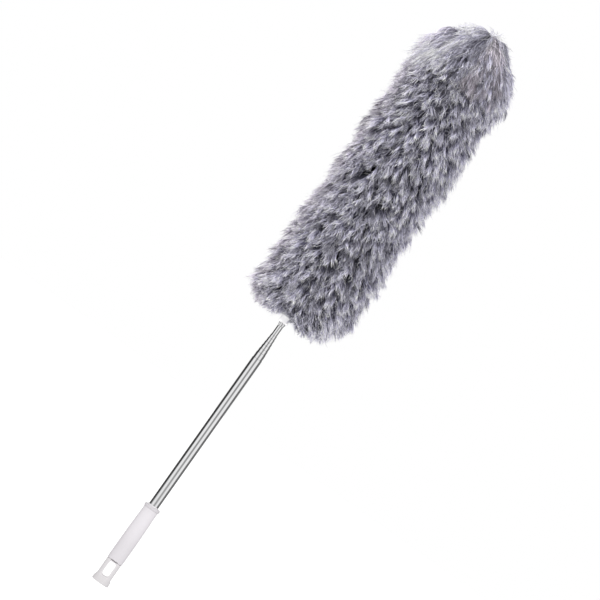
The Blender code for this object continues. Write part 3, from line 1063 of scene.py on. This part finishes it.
def strand_mesh(name, centres, steps, width, along, tone, lock_tone, warmth, turn):
    """One closed three-sided tapering tube for each strand, joined in one mesh."""
    n, rings = centres.shape[0], len(steps) - 1
    thick = np.interp(steps, ALONG, THICK)
    ahead = np.empty_like(centres)
    ahead[:, 1:-1] = centres[:, 2:] - centres[:, :-2]
    ahead[:, 0] = centres[:, 1] - centres[:, 0]
    ahead[:, -1] = centres[:, -1] - centres[:, -2]
    ahead /= np.linalg.norm(ahead, axis=2, keepdims=True)
    root = centres[:, 0]
    side = np.stack([-root[:, 1], root[:, 0], np.zeros(n)], 1) + 1e-6
    side = side / np.linalg.norm(side, axis=1, keepdims=True)
    first = side[:, None] - (side[:, None] * ahead).sum(2, keepdims=True) * ahead
    first /= np.linalg.norm(first, axis=2, keepdims=True)
    second = np.cross(ahead, first)
    verts = np.empty((n, 3 * rings + 1, 3), np.float32)
    for j in range(3):
        a = turn + math.tau * j / 3
        out = np.cos(a)[:, None, None] * first + np.sin(a)[:, None, None] * second
        ring = centres + out * (width[:, None] * thick[None, :])[..., None]
        verts[:, j : 3 * rings : 3] = ring[:, :rings]
    verts[:, -1] = centres[:, -1]

    # the faces of one strand, and then of all
    one, corner_uv = [], []
    for k in range(rings - 1):
        for j in range(3):
            i = (j + 1) % 3
            one.append((3 * k + j, 3 * k + i, 3 * k + 3 + i, 3 * k + 3 + j))
            v, w = steps[k], steps[k + 1]
            corner_uv.append(((j, v), (j + 1, v), (j + 1, w), (j, w)))
    for j in range(3):
        i, k = (j + 1) % 3, rings - 1
        one.append((3 * k + j, 3 * k + i, 3 * rings))
        corner_uv.append(((j, steps[k]), (j + 1, steps[k]), (j + 0.5, 1.0)))
    one.append((2, 1, 0))
    corner_uv.append(((2, 0.0), (1, 0.0), (0, 0.0)))
    flat = np.array([v for f in one for v in f])
    uv = np.array([c for f in corner_uv for c in f], float)
    sizes = np.array([len(f) for f in one])
    per = 3 * rings + 1
    loops = (flat[None] + per * np.arange(n)[:, None]).ravel()
    starts = np.concatenate([[0], np.cumsum(sizes)[:-1]])
    starts = (starts[None] + len(flat) * np.arange(n)[:, None]).ravel()

    mesh = bpy.data.meshes.new(name)
    mesh.vertices.add(n * per)
    mesh.vertices.foreach_set("co", (verts * MM).astype(np.float32).ravel())
    mesh.loops.add(len(loops))
    mesh.loops.foreach_set("vertex_index", loops.astype(np.int32))
    mesh.polygons.add(n * len(sizes))
    mesh.polygons.foreach_set("loop_start", starts.astype(np.int32))
    mesh.polygons.foreach_set("use_smooth", np.ones(n * len(sizes), bool))

    # every strand has its own small cell of the layout, wide as its girth and tall as its length
    columns = 170
    rows = max(1, math.ceil(n / columns))
    cell = np.arange(n)
    left, foot = (cell % columns) / columns, (cell // columns) / rows
    u = left[:, None] + (0.08 + 0.84 * uv[None, :, 0] / 3) / columns
    v = foot[:, None] + (0.03 + 0.94 * uv[None, :, 1]) / rows
    layer = mesh.uv_layers.new(name="OFBake")
    layer.data.foreach_set("uv", np.stack([u, v], -1).astype(np.float32).ravel())

    carried = np.empty((n, per, 3), np.float32)
    carried[:, :-1, 0] = np.repeat(along[:, :-1], 3, axis=1)
    carried[:, -1, 0] = along[:, -1]
    carried[:, :, 1] = tone[:, None]
    carried[:, :, 2] = lock_tone[:, None]
    mesh.attributes.new("fibre", "FLOAT_VECTOR", "POINT").data.foreach_set(
        "vector", carried.ravel()
    )
    mesh.attributes.new("warmth", "FLOAT", "POINT").data.foreach_set(
        "value", np.repeat(warmth, per).astype(np.float32)
    )
    mesh.update(calc_edges=True)
    mesh.validate()
    mesh.materials.append(FIBRE)
    obj = bpy.data.objects.new(name, mesh)
    scene.collection.objects.link(obj)
    return obj


side_locks = body_locks(BODY_LOCKS)
top_locks = cap_locks(CAP_LOCKS)


def tip_tone_and_painted_light(facing, own):
    """Painted light and shade on the tip's locks, over their own random tone: paler on the -X side,
    towards the key lamp, darker on the +X side and at front and back, most at the back and in a patch
    at the back-left, with painted shade in the parting in front of the whorl.
    """
    across = np.sin(facing)
    tone = 0.44 + 0.58 * own - 0.28 * np.cos(facing) - 0.17 * np.abs(across)
    tone = tone - 0.22 * np.clip(across, 0, 1) - 0.22 * np.exp(-(((facing - 2.7) / 0.32) ** 2))
    tone = tone - 0.03 * np.exp(-(((facing + 1.0) / 0.55) ** 2))
    return np.clip(tone - 0.32 * np.exp(-(((facing + 1.68) / 0.19) ** 2)), 0, 1)


facing = np.arctan2(side_locks[:, 3, 1], side_locks[:, 3, 0])
# each side lock's own random tone, with painted light: a little paler towards +X and -X, the outline
# seen from the front, and darker towards front and back
side_tone_and_light = rng.random(BODY_LOCKS) + 0.07 * np.cos(2 * facing)
# painted light: the lowest locks are paler on the -X side, towards the key lamp
lowest_painted_light = np.exp(-(((side_locks[:, 0, 2] - 374.0) / 13.0) ** 2))
side_tone_and_light = side_tone_and_light + 0.32 * lowest_painted_light * np.clip(-np.cos(facing), 0, 1)
# near the tip the side locks take on the tip's tone, with its painted light and shade
near_tip = np.clip((side_locks[:, 0, 2] - 712.0) / 20.0, 0, 1)
side_tone_and_light = side_tone_and_light + near_tip * (tip_tone_and_painted_light(facing, 0.8 * side_tone_and_light) - side_tone_and_light)
facing = np.arctan2(top_locks[:, 3, 1], top_locks[:, 3, 0])
top_tone_and_light = tip_tone_and_painted_light(facing, rng.random(CAP_LOCKS))
front_top_painted_light = np.exp(-(((facing + 0.9) / 0.6) ** 2))
parting_top_painted_shade = np.exp(-(((facing + 1.68) / 0.17) ** 2))
# a warm cast on some locks in front of the whorl and down one side
warm_top = ((facing > -1.45) & (facing < -0.55) & (rng.random(CAP_LOCKS) < 0.86)).astype(float)
facing = np.arctan2(side_locks[:, 3, 1], side_locks[:, 3, 0]) % math.tau
warm_side = np.exp(-(((facing - 3.3) / 0.6) ** 2)) * (0.5 + 0.5 * rng.random(BODY_LOCKS))

REGIONS = [
    ("base", -math.inf, 410.0, None, ("fluff_1",)),
    ("lower", 410.0, 510.0, BENDS[0], ("fluff_1", "fluff_2")),
    ("middle", 510.0, 610.0, BENDS[1], ("fluff_2", "fluff_3")),
    ("upper", 610.0, 710.0, BENDS[2], ("fluff_3", "fluff_4")),
    ("top", 710.0, math.inf, None, ("fluff_4",)),
]


def grow(kind, batches, steps, thickness, most):
    """Makes the meshes of a kind of strand, in pieces split by where on the core they are rooted.

    Each batch is its strands (points, lock, stray), the tone and warmth of each lock, the tone holding
    painted light and shade too, how light the strands are from root to tip on the painted-shade ramp,
    and how thick beside the others.
    """
    centres = np.concatenate([batch[0][0] for batch in batches])
    stray = np.concatenate([batch[0][2] for batch in batches])
    lock_tone = np.concatenate([batch[1][batch[0][1]] for batch in batches])
    warmth = np.concatenate([batch[2][batch[0][1]] for batch in batches])
    light = np.concatenate(
        [np.broadcast_to(batch[3], (len(batch[0][0]), len(steps))) for batch in batches]
    )
    girth = np.concatenate([np.full(len(batch[0][0]), batch[4]) for batch in batches])
    count = len(centres)
    tone = np.clip(rng.random(count) + np.where(stray, 0.35, 0.0), 0, 1.2)
    width = thickness * girth * rng.uniform(0.72, 1.25, count) * np.where(stray, 0.5, 1.0)
    spin = rng.uniform(0, math.tau, count)
    root_z = centres[:, 0, 2]
    for region, low, high, bend, stood_for in REGIONS:
        index = np.flatnonzero((root_z >= low) & (root_z < high))
        round_it = np.arctan2(centres[index, 3, 1], centres[index, 3, 0])
        index = index[np.argsort(round_it, kind="stable")]
        parts = max(1, math.ceil(len(index) / most))
        for part, share in enumerate(np.array_split(index, parts)):
            fluff = strand_mesh(
                "fluff_%s_%s_%s" % (region, kind, "abcdefgh"[part]),
                centres[share],
                steps,
                width[share],
                light[share],
                tone[share],
                lock_tone[share],
                warmth[share],
                spin[share],
            )
            if bend is None:
                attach(fluff, "head_base" if region == "base" else "head_upper")
            else:
                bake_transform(fluff)
            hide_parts(*stood_for)


# the side strands rooted over the tip take less of the painted shade: they are pale for most of their
# length
side_strands = strands_of(side_locks, PER_LOCK, 1.0, 1.0)
upper = np.clip((side_strands[0][:, 0, 2] - 708.0) / 26.0, 0, 1)[:, None]
side_light = ALONG * (1 - upper) + np.interp(ALONG, [0, 0.3, 0.6, 1], [0.5, 0.72, 0.865, 0.95]) * upper
# painted light: in front of the whorl they are palest where they rise from it
top_strands = strands_of(top_locks, PER_LOCK, 0.9, 0.9)
front = front_top_painted_light[top_strands[1]][:, None]
top_light = np.interp(ALONG, [0, 0.3, 0.6, 1], [0.92, 0.935, 0.935, 0.925]) * (1 - front)
top_light = top_light + np.interp(ALONG, [0, 0.25, 0.5, 1], [0.97, 0.99, 0.965, 0.89]) * front
# painted shade: a dark parting in front of the whorl, darkest partway along the strands
parting = parting_top_painted_shade[top_strands[1]][:, None]
top_light = top_light - 0.22 * parting * np.interp(ALONG, [0.15, 0.45, 1], [0.0, 1.0, 0.3])
grow(
    "tuft",
    [
        (side_strands, side_tone_and_light, warm_side, side_light, 1.0),
        (top_strands, top_tone_and_light, warm_top, top_light, 0.84),
    ],
    ALONG,
    STRAND_R,
    PIECE_STRANDS,
)
# thin frizzy strands that lie loose over the tufts
crown = crown_locks(30)
some = np.sort(rng.choice(BODY_LOCKS, 2900, replace=False))
grow(
    "frizz",
    [
        (
            strands_of(side_locks[some], 3, 1.7, 1.3, FRIZZ, 1.9, (8.0, 15.0), 3.5),
            0.35 + 0.65 * side_tone_and_light[some],
            warm_side[some],
            0.3 + 0.7 * FRIZZ,
            1.0,
        ),
        (
            strands_of(top_locks, 3, 1.8, 1.1, FRIZZ, 1.5, (9.0, 18.0), 2.0),
            top_tone_and_light,
            warm_top,
            np.interp(FRIZZ, [0, 0.3, 1], [0.9, 0.94, 0.97]),
            1.0,
        ),
        (
            strands_of(crown, 1, 1.0, 0.9, FRIZZ, 1.4, (7.0, 12.0)),
            np.full(len(crown), 0.8),
            np.zeros(len(crown)),
            np.interp(FRIZZ, [0, 0.3, 1], [0.9, 0.94, 0.97]),
            1.0,
        ),
    ],
    FRIZZ,
    0.5 * STRAND_R,
    3200,
)

# ---------------------------------------------------------------- floor and light
floor_mat, floor_tree, floor_shader, floor_where = start("pale_floor")
floor_colour = ramp(
    floor_tree,
    noise(floor_tree, floor_where, 3.0, 3.0),
    [(0.3, (0.90, 0.90, 0.905)), (0.7, (0.92, 0.92, 0.92))],
)
floor_tree.links.new(floor_colour, floor_shader.inputs["Base Color"])
floor_shader.inputs["Roughness"].default_value = 0.9
floor_shader.inputs["Specular IOR Level"].default_value = 0.0
floor_shader.inputs["Emission Color"].default_value = (1.0, 1.0, 1.0, 1.0)
floor_shader.inputs["Emission Strength"].default_value = 0.55
bm = bmesh.new()
bmesh.ops.create_circle(bm, cap_ends=True, segments=96, radius=9.0)
floor_mesh = bpy.data.meshes.new("floor")
bm.to_mesh(floor_mesh)
bm.free()
floor = bpy.data.objects.new("floor", floor_mesh)
floor.location = (0.0, 0.0, -0.0002)
floor_mesh.materials.append(floor_mat)
scene.collection.objects.link(floor)
floor.visible_diffuse = floor.visible_glossy = floor.visible_shadow = False

world = bpy.data.worlds.new("studio")
scene.world = world
world.use_nodes = True
tree = world.node_tree
tree.nodes.clear()
toward = add(tree, "ShaderNodeTexCoord").outputs["Generated"]
xyz = add(tree, "ShaderNodeSeparateXYZ", {0: toward})
x, y, z = xyz.outputs
bearing = maths(tree, "ARCTAN2", x, maths(tree, "MULTIPLY", y, -1.0))
place = maths(tree, "MULTIPLY_ADD", bearing, 1 / math.tau, 0.5)


def at(degrees):
    return degrees / 360.0 + 0.5


# what polished metal sees: pale walls with a dark flag each side and a grey one in front
bands = ramp(
    tree,
    place,
    [
        (at(-180), 0.40),
        (at(-165), 0.30),
        (at(-140), 0.05),
        (at(-80), 0.05),
        (at(-63), 0.96),
        (at(-24), 0.96),
        (at(-13), 0.33),
        (at(13), 0.33),
        (at(24), 0.96),
        (at(68), 0.96),
        (at(80), 0.17),
        (at(140), 0.17),
        (at(165), 0.30),
        (at(180), 0.40),
    ],
)
# lower down, where it is seen from above, lighter walls all round with narrower flags
stops = []
for degrees, width, dark in ((-148, 26, 0.2), (-62, 20, 0.35), (20, 26, 0.22), (118, 30, 0.14)):
    stops += [(degrees - width, 0.9), (degrees - 0.4 * width, dark)]
    stops += [(degrees + 0.4 * width, dark), (degrees + width, 0.9)]
low_bands = ramp(tree, place, [(at(degrees), level) for degrees, level in stops])
below = add(
    tree,
    "ShaderNodeMapRange",
    {"Value": z, "From Min": -0.14, "From Max": -0.25, "To Min": 0.0, "To Max": 1.0},
).outputs[0]
bands = mixed(tree, below, bands, low_bands)
overhead = add(
    tree,
    "ShaderNodeMapRange",
    {"Value": z, "From Min": 0.25, "From Max": 0.5, "To Min": 1.0, "To Max": 0.3},
).outputs[0]
seen = mixed(tree, 1.0, bands, overhead, "MULTIPLY")
# soft light for everything else: a little stronger from the front and the left
soft = maths(tree, "MULTIPLY_ADD", y, 0.12, 0.745)
soft = maths(tree, "MULTIPLY_ADD", x, -0.02, soft)
soft = maths(tree, "MULTIPLY_ADD", z, -0.2, soft)
path = add(tree, "ShaderNodeLightPath")
light = mixed(tree, path.outputs["Is Glossy Ray"], soft, seen)
light = mixed(tree, path.outputs["Is Camera Ray"], light, (1.0, 1.0, 1.0))
back = add(tree, "ShaderNodeBackground", {"Color": light, "Strength": 1.0})
out = tree.nodes.new("ShaderNodeOutputWorld")
tree.links.new(back.outputs[0], out.inputs["Surface"])


def lamp(name, place, aim, size, power, colour=(1.0, 1.0, 1.0)):
    data = bpy.data.lights.new(name, "AREA")
    data.shape = "DISK"
    data.size = size
    data.energy = power
    data.color = colour
    obj = bpy.data.objects.new(name, data)
    scene.collection.objects.link(obj)
    obj.location = place
    obj.rotation_euler = (Vector(aim) - Vector(place)).to_track_quat("-Z", "Y").to_euler()
    obj.visible_glossy = False
    obj.visible_camera = False
    return obj


def lights_only(light, prefixes):
    """Flags the light off everything but the pieces so named, as a studio's black cards do."""
    lit = bpy.data.collections.new("lit_by_" + light.name)
    for obj in scene.objects:
        if obj.name.startswith(prefixes):
            lit.objects.link(obj)
    light.light_linking.receiver_collection = lit


HEAD = ("fluff_", "knitted", "elastic", "core_", "head_connector")
key = lamp("key", (-3.0, -2.4, 3.6), (0.0, 0.0, 0.5), 1.4, 138.0)
lights_only(key, HEAD + ("floor",))
front = lamp("front", (0.3, -3.4, 2.4), (0.0, 0.0, 0.1), 1.5, 71.5)
lights_only(front, ("hang_cap", "grip", "tube_ferrule", "head_connector"))
for name, side, power in (("left_edge", -1, 62.0), ("right_edge", 1, 87.0)):
    rim = lamp(name, (3.5 * side, 0.15, 0.6), (0.0, 0.0, 0.5), 1.2, power)
    lights_only(rim, HEAD)
collar_light = lamp("collar", (-0.6, -3.0, -0.4), (0.0, 0.0, 0.36), 0.8, 47.0)
lights_only(collar_light, ("head_connector", "elastic"))
skirt_light = lamp("skirt", (-0.2, -2.0, -2.0), (0.0, 0.0, 0.36), 1.0, 19.5)
lights_only(skirt_light, ("fluff_base",))
